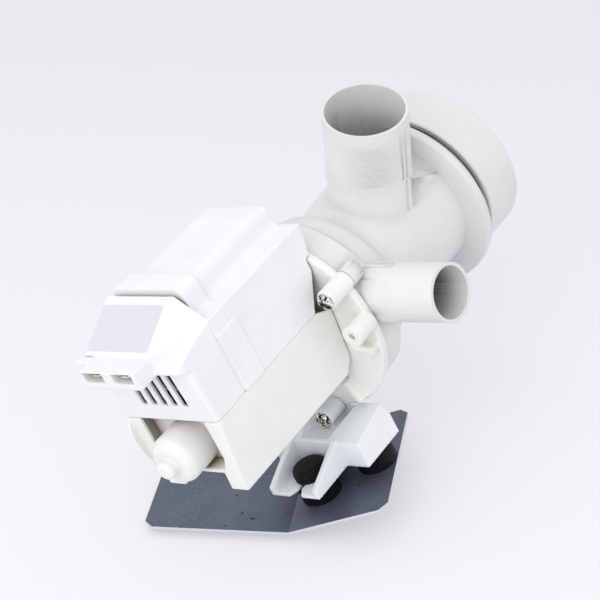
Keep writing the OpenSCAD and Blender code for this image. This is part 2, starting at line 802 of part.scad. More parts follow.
// Room inside the cover for the coils and their leads
module cover_room() {
    inner = frame_half - motor_wall;
    roof = ridge_z - motor_wall;
    knee_y = cover_knee[0] - motor_wall - 1;
    across([[brow_y + edge, roof], [visor[0] + motor_wall, visor[1] - 1],
            [motor_wall - cover_end, seam_z - 1], [cover_heel - motor_wall - 1, seam_z - 1],
            [knee_y, cover_knee[1] + motor_wall], [knee_y, roof]],
           -inner, inner);
    crown_in = crown_half - motor_wall;
    block([crown_mid - crown_in, min(slope_top[0], stack_y) - 1, roof - 1],
          [crown_mid + crown_in, -room_end, crown_z - crown_fall[1] - motor_wall]);
    under = slope_top[1] - motor_wall / cos(slope_angle) - edge / 2;
    face_y = visor[0] + motor_wall;
    across([[slope_top[0] + 1, roof - 2], [slope_top[0] + 1, under], [slope_top[0], under],
            [face_y, under + (face_y - slope_top[0]) * tan(slope_angle)], [face_y, visor[1] + motor_wall],
            [face_y + heel_cut, visor[1] + motor_wall]], plug_x[0], plug_x[1]);
}

module motor_cover() {
    color("white") on_plate() {
        difference() {
            union() {
                cover_box();
                cover_rear_crown();
                cover_crown(crown_half + crown_step, crown_z + crown_step, step_fillet, slope_top[0] + 2,
                            crown_step_y);
                cover_slope();
            }
            cover_room();
            rod(flange_r + edge, -flange_t - edge, cover_rear + 1);
            for (i = [0:vent_count - 1]) let (x = (i - (vent_count - 1) / 2) * vent_pitch + vent_mid)
                block([x - vent_w / 2, visor[0] - 1, vent_low], [x + vent_w / 2, visor[0] + 4, vent_high]);
            for (x = pocket_x) {
                block([x - pocket_w / 2, plug_front - 1, pocket_z - pocket_h / 2],
                      [x + pocket_w / 2, visor[0] - 1, pocket_z + pocket_h / 2]);
                block([x - tab_w / 2 - seat_gap, plug_front, pocket_z - tab_t / 2 - seat_gap],
                      [x + tab_w / 2 + seat_gap, -tab_end, pocket_z + tab_t / 2 + seat_gap]);
            }
            for (s = [0, 1]) mirror([s, 0, 0]) {
                block([frame_half - latch_t, latch_y[0] - groove_w, seam_z - 1],
                      [frame_half + 1, latch_y[0], groove_top]);
                block([frame_half - latch_t, slit_y, latch_top - 1],
                      [frame_half + 1, slit_y + latch_t, latch_top + slit_h]);
            }
            for (m = marks) translate([m[0], m[1], ridge_z - mark_r]) cylinder(r = mark_r, h = 2, $fn = 24);
        }
        for (s = [0, 1]) mirror([s, 0, 0])
            block([frame_half - motor_wall + edge, latch_y[0], seam_z],
                  [frame_half + latch_t, latch_y[1], latch_top]);
    }
}

module rating_label() {
    color("aliceblue") on_plate() translate([crown_mid - label_side, slope_top[0], slope_top[1]])
        rotate([slope_angle, 0, 0]) translate([0, -label_set, seat_gap / 2])
            linear_extrude(label_t) round_rect(label_w, label_h, 2 * edge);
}

module motor_frame() {
    floor_low = -floor_drop;
    floor_top = floor_low + floor_t;
    rear = -frame_rear;
    front = -frame_end;
    low = -skirt_drop;
    top = shoulder_z + 3;
    skirt = [[front, seam_z], [front, skirt_cut + low], [front + skirt_cut, low],
             [frame_back - heel_cut, low], [frame_back, heel_cut + low], [frame_back, shoulder_z],
             [cover_heel, seam_z]];
    left_ear = [[1 - ear[0], seam_z], [-ear[0], seam_z - edge], [-ear[0] - 3, seam_z - 3],
                [-ear[1], seam_z / 2], [-ear[1], -1], [-ear[0] - 3, floor_top + 3], [1 - ear[0], floor_low]];
    wall = [[wall_in(seam_z), seam_z], [frame_half, seam_z], [frame_half - frame_taper, low],
            [wall_in(low), low]];
    strip = [[bay_half, seam_z], [frame_half, seam_z], [frame_half - frame_taper, low], [foot_in, low],
             [foot_in + edge, floor_low], [bay_half, bay_low]];
    floor_half = wall_in(floor_low) + edge;
    top_half = wall_in(top) + edge;
    color("ivory") on_plate() {
        difference() {
            union() {
                for (s = [0, 1]) mirror([s, 0, 0]) intersection() {
                    union() {
                        lengthwise(wall, front, frame_back);
                        lengthwise(strip, front, front + motor_wall);
                    }
                    across(skirt, 0, frame_half);
                    body_plan(front, low - 1, seam_z + 1);
                }
                lengthwise([[-floor_half, floor_low], [floor_half, floor_low], [floor_half, floor_top],
                            [-floor_half, floor_top]], front + edge, rear);
                lengthwise([[-floor_half, floor_low], [floor_half, floor_low], [top_half, top],
                            [-top_half, top]], rear - motor_wall, rear);
                rod(collar_r, rear - 1, -flange_t);
            }
            rod(hub_r + wall_gap, rear - motor_wall - 1, 0);
            block([-collar_r - 1, rear - motor_wall - 2, -collar_r - 1], [collar_r + 1, 0, floor_low]);
        }
        intersection() {
            mirror([1, 0, 0]) lengthwise(wall, -ear[1] - 1, rear);
            across(left_ear, -frame_half, 0);
        }
    }
}

module bearing_holder() {
    low = floor_t + 2 * seat_gap - floor_drop;
    half = wall_in(low) - leg_gap;
    color("whitesmoke") on_plate() difference() {
        union() {
            block([-half, holder_y, low], [half, holder_y + holder_t, seam_z - edge]);
            turned([
                [0, holder_y + 1], [nose_r, holder_y + 1], [nose_r, 3 * nose_cut - nose_end],
                [nose_r - nose_cut, nose_cut - nose_end], [nose_r - 3 * nose_cut, -nose_end],
                [tip_r, -nose_end], [tip_r, 2 * edge - tip_end], [tip_r - 2 * edge, -tip_end], [0, -tip_end]
            ]);
        }
        rod(bush_r + seat_gap, rear_bush_y, holder_y + holder_t + 1);
        rod(shaft_r + 1, -shaft_tail - 1, 0);
    }
}

// Spade terminal in one pocket of the connector block
module terminal(x) {
    front = plug_front + 2;
    tip = [[x - tab_w / 2 + 1.2, front], [x + tab_w / 2 - 1.2, front], [x + tab_w / 2, front + 1.6],
           [x + tab_w / 2, -tab_end], [x - tab_w / 2, -tab_end], [x - tab_w / 2, front + 1.6]];
    color("khaki") on_plate() translate([0, 0, pocket_z - tab_t / 2]) difference() {
        linear_extrude(tab_t) polygon(tip);
        translate([x, front + 4, -1]) cylinder(r = 0.9, h = tab_t + 2);
    }
}

module terminal_left() { terminal(pocket_x[0]); }
module terminal_right() { terminal(pocket_x[1]); }

module flange_screws() {
    seat = -boss_len;
    top = seat - head_h;
    color("lightsteelblue") on_plate() for (a = screw_angles) at_screw(a) difference() {
        union() {
            rod(screw_r, seat - edge, thread_depth);
            turned([[0, seat], [head_r, seat], [head_r, seat - head_h / 2], [head_r - head_h / 2, top],
                    [0, top]]);
        }
        for (t = [0, 90]) rotate([0, t, 0])
            block([-cross_r, top - 1, -cross_w / 2], [cross_r, top + head_h / 2, cross_w / 2]);
    }
}

base_plate();
rubber_foot_front();
rubber_foot_left();
rubber_foot_right();
mount_bracket();
pump_housing();
cleanout_cap();
cap_gasket();
lint_filter();
impeller();
motor_flange();
flange_seal();
shaft_seal();
front_bearing();
rear_bearing();
rotor_shaft();
rotor_magnet();
thrust_washers();
stator_core();
coil_bobbin_left();
coil_bobbin_right();
coil_winding_left();
coil_winding_right();
motor_cover();
motor_frame();
bearing_holder();
terminal_left();
terminal_right();
flange_screws();
rating_label();
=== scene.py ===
# %% [markdown]
# A washer's drain pump
# The solids come from a imported model and stay where they are. This lesson dresses them: it softens
# the mouldings, adds the fine ribs and threads, gives every piece a procedural finish, and lights
# the pump like a catalogue picture.

# %% Load the imported solids
import json
import math
import bmesh
import bpy
from mathutils import Matrix, Vector


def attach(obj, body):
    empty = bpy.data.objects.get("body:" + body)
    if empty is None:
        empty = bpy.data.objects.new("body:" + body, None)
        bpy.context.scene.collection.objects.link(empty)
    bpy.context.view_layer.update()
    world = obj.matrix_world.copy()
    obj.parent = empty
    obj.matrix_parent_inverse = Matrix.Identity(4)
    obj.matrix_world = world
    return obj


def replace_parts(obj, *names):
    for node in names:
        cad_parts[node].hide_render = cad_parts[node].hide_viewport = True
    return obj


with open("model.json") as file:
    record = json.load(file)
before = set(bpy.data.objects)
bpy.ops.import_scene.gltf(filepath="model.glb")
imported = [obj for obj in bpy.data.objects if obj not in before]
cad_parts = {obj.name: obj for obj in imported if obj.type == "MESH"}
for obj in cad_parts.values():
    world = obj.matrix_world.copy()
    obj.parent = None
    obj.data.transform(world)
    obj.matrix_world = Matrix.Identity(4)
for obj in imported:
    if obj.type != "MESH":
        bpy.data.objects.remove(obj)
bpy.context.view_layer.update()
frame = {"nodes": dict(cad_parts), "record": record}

MM = 0.001
nodes = frame["nodes"]

# %% [markdown]
# The pump is tilted: it sits on the raised half of a bent plate. Every detail is easier to place in
# the pump's own axes, with Y along the motor shaft, so one matrix carries those places over.

# %% The pump's own axes
BEND_LINE_X, PLATE_T = 34.5, 1.5
AXIS_FROM_BEND, AXIS_ALONG, AXIS_HEIGHT = 30, 18.4, 74
BEND, TURN = math.radians(20), math.radians(26.3)
ON_PLATE = (Matrix.Translation(Vector((BEND_LINE_X, 0, PLATE_T)) * MM)
            @ Matrix.Rotation(-BEND, 4, "Y")
            @ Matrix.Translation(Vector((AXIS_FROM_BEND, AXIS_ALONG, AXIS_HEIGHT)) * MM)
            @ Matrix.Rotation(-TURN, 4, "Z"))


def on_pump(x, y, z):
    """A point given in millimetres in the pump's own axes, as a point of the scene."""
    return ON_PLATE @ (Vector((x, y, z)) * MM)


INLET_Y, INLET_LEAN, INLET_REACH, INLET_R = 64.3, math.radians(24.3), 78.6, 20
ALONG_INLET = (ON_PLATE @ Matrix.Translation(Vector((0, INLET_Y, 0)) * MM)
               @ Matrix.Rotation(INLET_LEAN, 4, "Y"))
ALONG_SHAFT = ON_PLATE @ Matrix.Rotation(math.radians(-90), 4, "X")
print("inlet rim at", [round(v, 4) for v in ALONG_INLET @ Vector((0, 0, INLET_REACH * MM))])

# %% [markdown]
# The picture was taken with a long lens from the front right, looking down by about a third of a
# right angle. A long lens keeps parallel edges nearly parallel, so the camera stands almost a metre
# away. Its place and its three directions are written in the pump's axes and carried over.

# %% Camera
EYE = (677.7, -557.5, 446.0)
RIGHT = Vector((0.7249, 0.5493, -0.4155)).normalized()
BACK = Vector((0.6888, -0.5720, 0.4454)).normalized()
turned = Matrix((RIGHT, BACK.cross(RIGHT), BACK)).transposed()
camera_data = bpy.data.cameras.new("camera")
camera_data.sensor_width, camera_data.lens = 36, 127.81
camera_data.clip_start, camera_data.clip_end = 0.05, 20
camera = bpy.data.objects.new("camera", camera_data)
camera.matrix_world = (Matrix.Translation(on_pump(*EYE))
                       @ (ON_PLATE.to_3x3() @ turned).to_4x4())
bpy.context.collection.objects.link(camera)
bpy.context.scene.camera = camera
print("camera at", [round(v, 3) for v in camera.location])

# %% [markdown]
# Shader maths reads best as plain arithmetic. A small class wraps a socket and turns + - * / into
# Math nodes; a second one adds any other node, sets its options first and then feeds its sockets.
# The same two serve the geometry trees further down.


# %% Sockets that do arithmetic, and a bench that adds nodes
class Wire:
    """An output socket that takes part in sums."""

    def __init__(self, bench, socket):
        self.bench, self.socket = bench, socket

    def sum_of(self, operation, first, second):
        return self.bench.add("ShaderNodeMath", {"operation": operation}, {0: first, 1: second})

    def __add__(self, other): return self.sum_of("ADD", self, other)
    def __sub__(self, other): return self.sum_of("SUBTRACT", self, other)
    def __rsub__(self, other): return self.sum_of("SUBTRACT", other, self)
    def __mul__(self, other): return self.sum_of("MULTIPLY", self, other)
    def __truediv__(self, other): return self.sum_of("DIVIDE", self, other)
    __radd__, __rmul__ = __add__, __mul__


class Bench:
    """A node tree to which one method adds every kind of node."""

    def __init__(self, tree):
        self.tree = tree

    def add(self, kind, settings=None, sockets=None, output=0):
        node = self.tree.nodes.new(kind)
        for name, value in (settings or {}).items():
            setattr(node, name, value)
        for key, value in (sockets or {}).items():
            if isinstance(value, Wire):
                self.tree.links.new(value.socket, node.inputs[key])
            else:
                node.inputs[key].default_value = value
        return Wire(self, node.outputs[output]) if node.outputs else node

    def ramp(self, value, low, high, to_low=0.0, to_high=1.0):
        return self.add("ShaderNodeMapRange", {"interpolation_type": "SMOOTHSTEP"},
                        {"Value": value, "From Min": low, "From Max": high,
                         "To Min": to_low, "To Max": to_high})

    def mix(self, share, first, second):
        return self.add("ShaderNodeMix", {"data_type": "RGBA"}, {0: share, 6: first, 7: second}, 2)

    def noise(self, place, scale, detail=2.0, rough=0.5):
        return self.add("ShaderNodeTexNoise", None,
                        {"Vector": place, "Scale": scale, "Detail": detail, "Roughness": rough})


def tone(red, green, blue):
    """A colour as seen on a screen, 0 to 255, as the linear colour that shaders take."""
    parts = [v / 255 for v in (red, green, blue)]
    return [v / 12.92 if v <= 0.04045 else ((v + 0.055) / 1.055) ** 2.4 for v in parts] + [1.0]


def new_finish(name):
    """A material with a bench, its place on the object, and a shader to feed."""
    material = bpy.data.materials.new(name)
    material.use_nodes = True
    material.node_tree.nodes.clear()
    bench = Bench(material.node_tree)
    place = bench.add("ShaderNodeTexCoord", None, None, 3)
    return material, bench, place


def shade(bench, sockets):
    """The closing shader of a finish."""
    surface = bench.add("ShaderNodeBsdfPrincipled", None, sockets)
    bench.add("ShaderNodeOutputMaterial", None, {"Surface": surface})


print("mid grey in linear light:", round(tone(128, 128, 128)[0], 3))

# %% [markdown]
# Most of the pump is moulded polypropylene in four near-whites: a cool white cover, a creamy frame,
# a greyer housing and a bluish bracket. Such plastic is satin, a little uneven in tone, and its
# edges are never sharp. One function makes all of them: broad clouds vary the tone and the gloss, a
# fine grain gives the satin, and a bevel node rounds the edges that the solids leave crisp. Two
# occlusion nodes look round each point and paint shade into the colour: a short one paints a tinted
# shade into inner corners, and a long one paints a dark shade into the deep places, such as a bore
# or the room behind a vent. Where a pocket should stay pale, a plane across the shaft says up to
# where the long one's painted shade counts.


# %% Moulded plastic
SHAFT = tuple(ON_PLATE.to_3x3() @ Vector((0, 1, 0)))
CORNER_REACH, ROOM_REACH, BORE_REACH = 0.009, 0.03, 0.05
CONNECTOR_BACK = -97


def moulded(name, body, corner_shade, hollow_shade, gloss, grain=0.35, edge=0.5, shade_depth=0.6, reach=ROOM_REACH,
            pale_before=None):
    material, bench, place = new_finish(name)
    cloud = bench.noise(place, 38.0, 3.0)
    fine = bench.noise(place, 2400.0, 2.0)
    speck = bench.noise(place, 760.0, 4.0, 0.7)
    near = bench.add("ShaderNodeAmbientOcclusion", {"samples": 12}, {"Distance": CORNER_REACH}, 1)
    far = bench.add("ShaderNodeAmbientOcclusion", {"samples": 12}, {"Distance": reach}, 1)
    worn = [share * 0.93 for share in body[:3]] + [1.0]
    tint = bench.mix(bench.ramp(cloud * 0.7 + speck * 0.3, 0.3, 0.75), body, worn)
    # painted shade: the short occlusion darkens inner corners towards the corner colour
    tint = bench.mix((1 - near) * shade_depth, tint, corner_shade)
    # painted shade: the long occlusion darkens deep places such as bores and vents towards the
    # hollow colour
    deep_shade = bench.ramp(far, 0.02, 0.27, 0.9, 0.0)
    if pale_before is not None:
        along = bench.add("ShaderNodeVectorMath", {"operation": "DOT_PRODUCT"},
                          {0: place, 1: SHAFT}, 1)
        limit = on_pump(0, pale_before, 0).dot(Vector(SHAFT))
        deep_shade = deep_shade * bench.ramp(along, limit - MM, limit + MM, 0.12, 1.0)
    tint = bench.mix(deep_shade, tint, hollow_shade)
    round_edge = bench.add("ShaderNodeBevel", {"samples": 6}, {"Radius": edge * MM})
    bump = bench.add("ShaderNodeBump", None,
                     {"Strength": grain, "Distance": 0.00004, "Height": fine + speck * 0.6,
                      "Normal": round_edge})
    shade(bench, {"Base Color": tint, "Roughness": gloss + (cloud - 0.5) * 0.14,
                  "Normal": bump, "Specular IOR Level": 0.42})
    return material


# For each moulding the second colour is its painted corner shade and the third its painted deep
# shade.
cover_white = moulded("cover plastic", tone(248, 247, 251), tone(232, 228, 214),
                      tone(76, 58, 38), 0.46, shade_depth=0.5, pale_before=CONNECTOR_BACK)
frame_cream = moulded("frame plastic", tone(246, 247, 244), tone(220, 219, 194),
                      tone(164, 160, 130), 0.44)
housing_grey = moulded("housing plastic", tone(235, 235, 234), tone(164, 164, 160),
                       tone(46, 46, 44), 0.40, 0.5, shade_depth=0.85, reach=BORE_REACH)
bracket_white = moulded("bracket plastic", tone(247, 249, 252), tone(212, 218, 222),
                        tone(186, 192, 198), 0.40)
inner_plastic = moulded("inner plastic", tone(246, 244, 243), tone(196, 188, 172),
                        tone(120, 104, 78), 0.42)
for plastic in (cover_white, frame_cream, housing_grey, bracket_white, inner_plastic):
    print(plastic.name, len(plastic.node_tree.nodes), "nodes")

# %% [markdown]
# The foot plate is galvanised sheet. Zinc freezes in flakes, so a Voronoi pattern gives each flake
# its own grey, a stretched noise adds the rolling lines, a coarse one leaves a few dull patches,
# and the peaks of another leave small dark pits. The sheared edges are bare steel, and their
# near-white colour is partly a painted highlight of light caught along the thin edge: a face belongs
# to an edge when it looks neither along the flat half's normal nor along the raised half's.


# %% Galvanised sheet
def galvanised(name):
    material, bench, place = new_finish(name)
    flake = bench.add("ShaderNodeTexVoronoi", {"feature": "F1"},
                      {"Vector": place, "Scale": 1300.0}, 1)
    flake = bench.add("ShaderNodeSeparateColor", None, {"Color": flake})
    lines = bench.add("ShaderNodeMapping", None, {"Vector": place, "Scale": (90.0, 1400.0, 90.0)})
    rolled = bench.noise(lines, 1.0, 3.0)
    patch = bench.noise(place, 30.0, 4.0, 0.6)
    grit = bench.noise(place, 1500.0, 3.0, 0.7)
    pits = bench.noise(place, 210.0, 1.0)
    facing = bench.add("ShaderNodeNewGeometry", None, None, 1)
    flat = bench.add("ShaderNodeVectorMath", {"operation": "DOT_PRODUCT"},
                     {0: facing, 1: (0, 0, 1)}, 1)
    raised = bench.add("ShaderNodeVectorMath", {"operation": "DOT_PRODUCT"},
                       {0: facing, 1: (-math.sin(BEND), 0, math.cos(BEND))}, 1)
    sheared_edge_highlight = (bench.ramp(flat * flat, 0.4, 0.6, 1.0, 0.0)
               * bench.ramp(raised * raised, 0.4, 0.6, 1.0, 0.0))
    grey = bench.mix(flake * 0.35 + rolled * 0.3 + grit * 0.35,
                     tone(70, 77, 90), tone(122, 130, 148))
    grey = bench.mix(bench.ramp(patch, 0.42, 0.7, 0.0, 0.5), grey, tone(122, 130, 146))
    grey = bench.mix(bench.ramp(pits, 0.752, 0.77), grey, tone(34, 34, 38))
    # painted highlight: the sheared edges are painted near white, partly their bare steel and partly
    # light caught on the edge
    grey = bench.mix(sheared_edge_highlight, grey, tone(226, 227, 232))
    round_edge = bench.add("ShaderNodeBevel", {"samples": 4}, {"Radius": 0.25 * MM})
    bump = bench.add("ShaderNodeBump", None,
                     {"Strength": 0.25, "Distance": 0.00003, "Height": flake + grit,
                      "Normal": round_edge})
    shade(bench, {"Base Color": grey, "Metallic": 0.55 + sheared_edge_highlight * 0.2,
                  "Roughness": 0.34 + patch * 0.16 + flake * 0.06, "Normal": bump})
    return material


zinc_steel = galvanised("galvanised sheet")
print(zinc_steel.name, len(zinc_steel.node_tree.nodes), "nodes")

# %% [markdown]
# The feet and seals are black rubber: dark, matt, with a bloom of dust that lightens it in random
# patches. The rubber keeps a trace of gloss so that its domes still read as round.


# %% Black rubber
def rubber(name):
    material, bench, place = new_finish(name)
    bloom = bench.noise(place, 120.0, 4.0, 0.6)
    pores = bench.noise(place, 1900.0, 2.0)
    black = bench.mix(bench.ramp(bloom, 0.45, 0.8), tone(5, 6, 7), tone(26, 27, 31))
    bump = bench.add("ShaderNodeBump", None,
                     {"Strength": 0.3, "Distance": 0.00005, "Height": pores})
    shade(bench, {"Base Color": black, "Roughness": 0.5 + bloom * 0.16, "Normal": bump,
                  "Specular IOR Level": 0.18})
    return material


black_rubber = rubber("black rubber")
print(black_rubber.name, len(black_rubber.node_tree.nodes), "nodes")

# %% [markdown]
# The metals differ in colour, in how bright they are and in the marks that making them left:
# turning rings on a shaft, tumbled scratches on a screw, grains in sintered bronze. On the screws
# the hard light and dark patches of that noise are also painted reflections of the bright room.
# They share one function with a stretched noise for the marks and those painted reflections.


# %% Metals
EVEN_MARKS = (900.0, 900.0, 900.0)


def metal(name, light, dark, rough, marks=EVEN_MARKS, shine=1.0, relief=0.2, span=0.45):
    material, bench, place = new_finish(name)
    stretched = bench.add("ShaderNodeMapping", None, {"Vector": place, "Scale": marks})
    marks_and_glints = bench.noise(stretched, 1.0, 4.0, 0.65)
    cloud = bench.noise(place, 160.0, 3.0)
    tint = bench.mix(bench.ramp(marks_and_glints, 0.52 - span / 2, 0.52 + span / 2), light, dark)
    bump = bench.add("ShaderNodeBump", None,
                     {"Strength": relief, "Distance": 0.00003, "Height": marks_and_glints})
    shade(bench, {"Base Color": tint, "Metallic": shine,
                  "Roughness": rough + cloud * 0.14, "Normal": bump})
    return material


# painted reflection: the screw's near-white and near-black patches stand for the room mirrored in
# the head
bright_screw = metal("nickel screw", tone(240, 238, 233), tone(46, 42, 38), 0.14,
                     (520.0, 520.0, 520.0), span=0.1)
shaft_steel = metal("ground shaft", tone(206, 208, 212), tone(150, 152, 158), 0.2)
core_steel = metal("core laminations", tone(92, 90, 88), tone(44, 42, 40), 0.5,
                   (60.0, 2600.0, 60.0), 0.7)
ferrite = metal("magnet ferrite", tone(58, 58, 62), tone(34, 34, 38), 0.55,
                (1400.0, 1400.0, 1400.0), 0.3)
bronze = metal("sintered bronze", tone(196, 150, 92), tone(120, 84, 44), 0.38,
               (2200.0, 2200.0, 2200.0))
copper = metal("enamelled copper", tone(176, 104, 54), tone(96, 50, 26), 0.3,
               (500.0, 500.0, 500.0), 0.85)
tinned_brass = metal("tinned brass", tone(247, 245, 238), tone(206, 194, 160), 0.26)
print("metals:", ", ".join(made.name for made in (bright_screw, shaft_steel, core_steel, ferrite,
                                                  bronze, copper, tinned_brass)))

# %% [markdown]
# The rating label is a plain film, a shade bluer than the cover under it. It stays bare, with a
# faint mottle from the paper behind the film and a soft sheen.


# %% Label film
def film(name):
    material, bench, place = new_finish(name)
    mottle = bench.noise(place, 900.0, 4.0, 0.7)
    tint = bench.mix(bench.ramp(mottle, 0.3, 0.75), tone(225, 224, 233), tone(217, 216, 227))
    bump = bench.add("ShaderNodeBump", None,
                     {"Strength": 0.12, "Distance": 0.00003, "Height": mottle})
    shade(bench, {"Base Color": tint, "Roughness": 0.3 + mottle * 0.12, "Normal": bump})
    return material


label_film = film("label film")
print(label_film.name, len(label_film.node_tree.nodes), "nodes")

# %% [markdown]
# Each solid names its finish in the record, so the finishes go on by that name.

# %% Finishes on the solids
finishes = {"cover_white": cover_white, "frame_cream": frame_cream,
            "housing_grey": housing_grey, "bracket_white": bracket_white,
            "inner_plastic": inner_plastic, "zinc_steel": zinc_steel,
            "black_rubber": black_rubber, "bright_screw": bright_screw,
            "shaft_steel": shaft_steel, "core_steel": core_steel, "ferrite": ferrite,
            "bronze": bronze, "copper": copper, "tinned_brass": tinned_brass,
            "label_film": label_film}
slots = {part["node"]: part["material_slot"] for part in frame["record"]["subparts"]}
for name, thing in nodes.items():
    thing.data.materials.clear()
    thing.data.materials.append(finishes[slots[name]])
print("finishes used:", len(set(slots.values())))

# %% [markdown]
# What repeats or follows a path is grown by geometry trees. Four helpers serve them all: one opens
# a tree with its named sizes, one closes it, one runs it and keeps the result as a plain mesh, and
# one sets such a mesh on the body that it moves with.


# %% Helpers for geometry trees
def new_tree(name, sizes):
    """A geometry tree with named inputs, its bench and the wires of those inputs."""
    tree = bpy.data.node_groups.new(name, "GeometryNodeTree")
    tree.interface.new_socket("Geometry", in_out="OUTPUT", socket_type="NodeSocketGeometry")
    for label, value in sizes.items():
        kind = "NodeSocketInt" if isinstance(value, int) else "NodeSocketFloat"
        tree.interface.new_socket(label, in_out="INPUT", socket_type=kind).default_value = value
    bench = Bench(tree)
    source = tree.nodes.new("NodeGroupInput")
    wires = {label: Wire(bench, source.outputs[label]) for label in sizes}
    return bench, wires


def close_tree(bench, shape, finish):
    """Ends a tree: instances become real, the finish goes on, and the shape goes out."""
    real = bench.add("GeometryNodeRealizeInstances", None, {"Geometry": shape})
    done = bench.add("GeometryNodeSetMaterial", None, {"Geometry": real, "Material": finish})
    smooth = bench.add("GeometryNodeSetShadeSmooth", None, {"Geometry": done})
    bench.add("NodeGroupOutput", None, {"Geometry": smooth})
    return bench.tree


def grow(name, tree, sizes, slot, place, body):
    """Runs a tree with its sizes, keeps the result as a plain mesh, and sets it on a body."""
    seed = bpy.data.objects.new(name + "_seed", bpy.data.meshes.new(name + "_seed"))
    bpy.context.collection.objects.link(seed)
    modifier = seed.modifiers.new(name, "NODES")
    modifier.node_group = tree
    for socket in tree.interface.items_tree:
        if socket.in_out == "INPUT" and socket.name in sizes:
            modifier[socket.identifier] = sizes[socket.name]
    bpy.context.view_layer.update()
    grown = seed.evaluated_get(bpy.context.evaluated_depsgraph_get())
    mesh = bpy.data.meshes.new_from_object(grown)
    bpy.data.objects.remove(seed)
    mesh.transform(place)
    return set_piece(name, mesh, slot, body)


def set_piece(name, mesh, slot, body):
    """A finished mesh as a piece that rides on a body and wears the finish of a slot."""
    mesh.materials.clear()
    mesh.materials.append(finishes[slot])
    piece = bpy.data.objects.new(name, mesh)
    bpy.context.collection.objects.link(piece)
    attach(piece, body)
    print(name, len(mesh.polygons), "faces")
    return piece


# %% [markdown]
# The cap screws onto the neck, so the neck carries a thread, which shows once the cap is backed
# off. A helix swept with a small round profile follows a rule, so a geometry tree makes it: a line
# of points is wound round the neck and given a profile.


# %% Thread on the neck
def helix_tree(name, sizes, finish):
    """A round bar wound about Z: its place comes from the share of the way along it."""
    bench, size = new_tree(name, sizes)
    line = bench.add("GeometryNodeMeshLine", None, {"Count": size["Points"]})
    count = size["Points"] - 1
    share = bench.add("GeometryNodeInputIndex") / count
    angle = share * size["Turns"] * (2 * math.pi)
    across = bench.add("ShaderNodeMath", {"operation": "COSINE"}, {0: angle}) * size["Radius"]
    up = bench.add("ShaderNodeMath", {"operation": "SINE"}, {0: angle}) * size["Radius"]
    spot = bench.add("ShaderNodeCombineXYZ", None,
                     {"X": across, "Y": up, "Z": share * size["Turns"] * size["Pitch"]})
    wound = bench.add("GeometryNodeSetPosition", None, {"Geometry": line, "Position": spot})
    path = bench.add("GeometryNodeMeshToCurve", None, {"Mesh": wound})
    section = bench.add("GeometryNodeCurvePrimitiveCircle", None,
                        {"Resolution": 8, "Radius": size["Bar radius"]})
    bar = bench.add("GeometryNodeCurveToMesh", None,
                    {"Curve": path, "Profile Curve": section, "Fill Caps": True})
    return close_tree(bench, bar, finish)


THREAD_START = 105.2
thread_sizes = {"Points": 260, "Turns": 2.6, "Radius": 38.5 * MM, "Pitch": 5.0 * MM,
                "Bar radius": 0.5 * MM}
thread = helix_tree("neck_thread", thread_sizes, housing_grey)
grow("neck_thread", thread, thread_sizes, "housing_grey",
     ALONG_SHAFT @ Matrix.Translation((0, 0, THREAD_START * MM)), "pump")

# %% [markdown]
# The hose grips the inlet by a patch of fine ribs under its rim. They are arcs on one axis at an
# even pitch: one arc is instanced along a line, and the instances are made real at the end. Their
# radius is smaller than the spigot's and their axis lies nearer the front, so each rib rises out of
# the wall in the middle of the patch and sinks back into it at both ends, as on the moulding. The
# single ring above the patch goes all the way round.


# %% Grip ribs on the inlet
def rib_tree(name, sizes, finish):
    bench, size = new_tree(name, sizes)
    arc = bench.add("GeometryNodeCurveArc", {"mode": "RADIUS"},
                    {"Resolution": size["Steps"], "Radius": size["Radius"],
                     "Start Angle": size["Sweep"] * -0.5, "Sweep Angle": size["Sweep"]})
    section = bench.add("GeometryNodeCurvePrimitiveCircle", None,
                        {"Resolution": 6, "Radius": size["Bar radius"]})
    bar = bench.add("GeometryNodeCurveToMesh", None,
                    {"Curve": arc, "Profile Curve": section, "Fill Caps": True})
    step = bench.add("ShaderNodeCombineXYZ", None, {"Z": size["Pitch"]})
    line = bench.add("GeometryNodeMeshLine", None, {"Count": size["Ribs"], "Offset": step})
    row = bench.add("GeometryNodeInstanceOnPoints", None, {"Points": line, "Instance": bar})
    return close_tree(bench, row, finish)


rib_sizes = {"Radius": 18.96 * MM, "Bar radius": 0.27 * MM, "Pitch": 1.36 * MM, "Ribs": 17,
             "Sweep": math.radians(110), "Steps": 48}
ribs = rib_tree("grip_ribs", rib_sizes, housing_grey)
PATCH_SIDE, PATCH_SHIFT, PATCH_START, STOP_AT = math.atan2(-0.7896, 0.6136), 1.07, 48.8, 72.6
FACING = ALONG_INLET @ Matrix.Rotation(PATCH_SIDE, 4, "Z")
grow("grip_ribs", ribs, rib_sizes, "housing_grey",
     FACING @ Matrix.Translation(Vector((PATCH_SHIFT, 0, PATCH_START)) * MM), "pump")
stop_sizes = {**rib_sizes, "Radius": 19.8 * MM, "Bar radius": 0.38 * MM, "Ribs": 1,
              "Sweep": math.radians(360), "Steps": 160}
grow("grip_stop", ribs, stop_sizes, "housing_grey",
     FACING @ Matrix.Translation((0, 0, STOP_AT * MM)), "pump")

# %% [markdown]
# Inside the motor, each coil is a long run of enamelled wire laid turn beside turn round a bobbin.
# The solid for it is a plain block, so a tree winds a real wire: points on a line are sent round a
# rounded rectangle, one lap for each turn, and climb by one wire thickness a lap. Three such layers
# lie over each other and fill the room of the block.


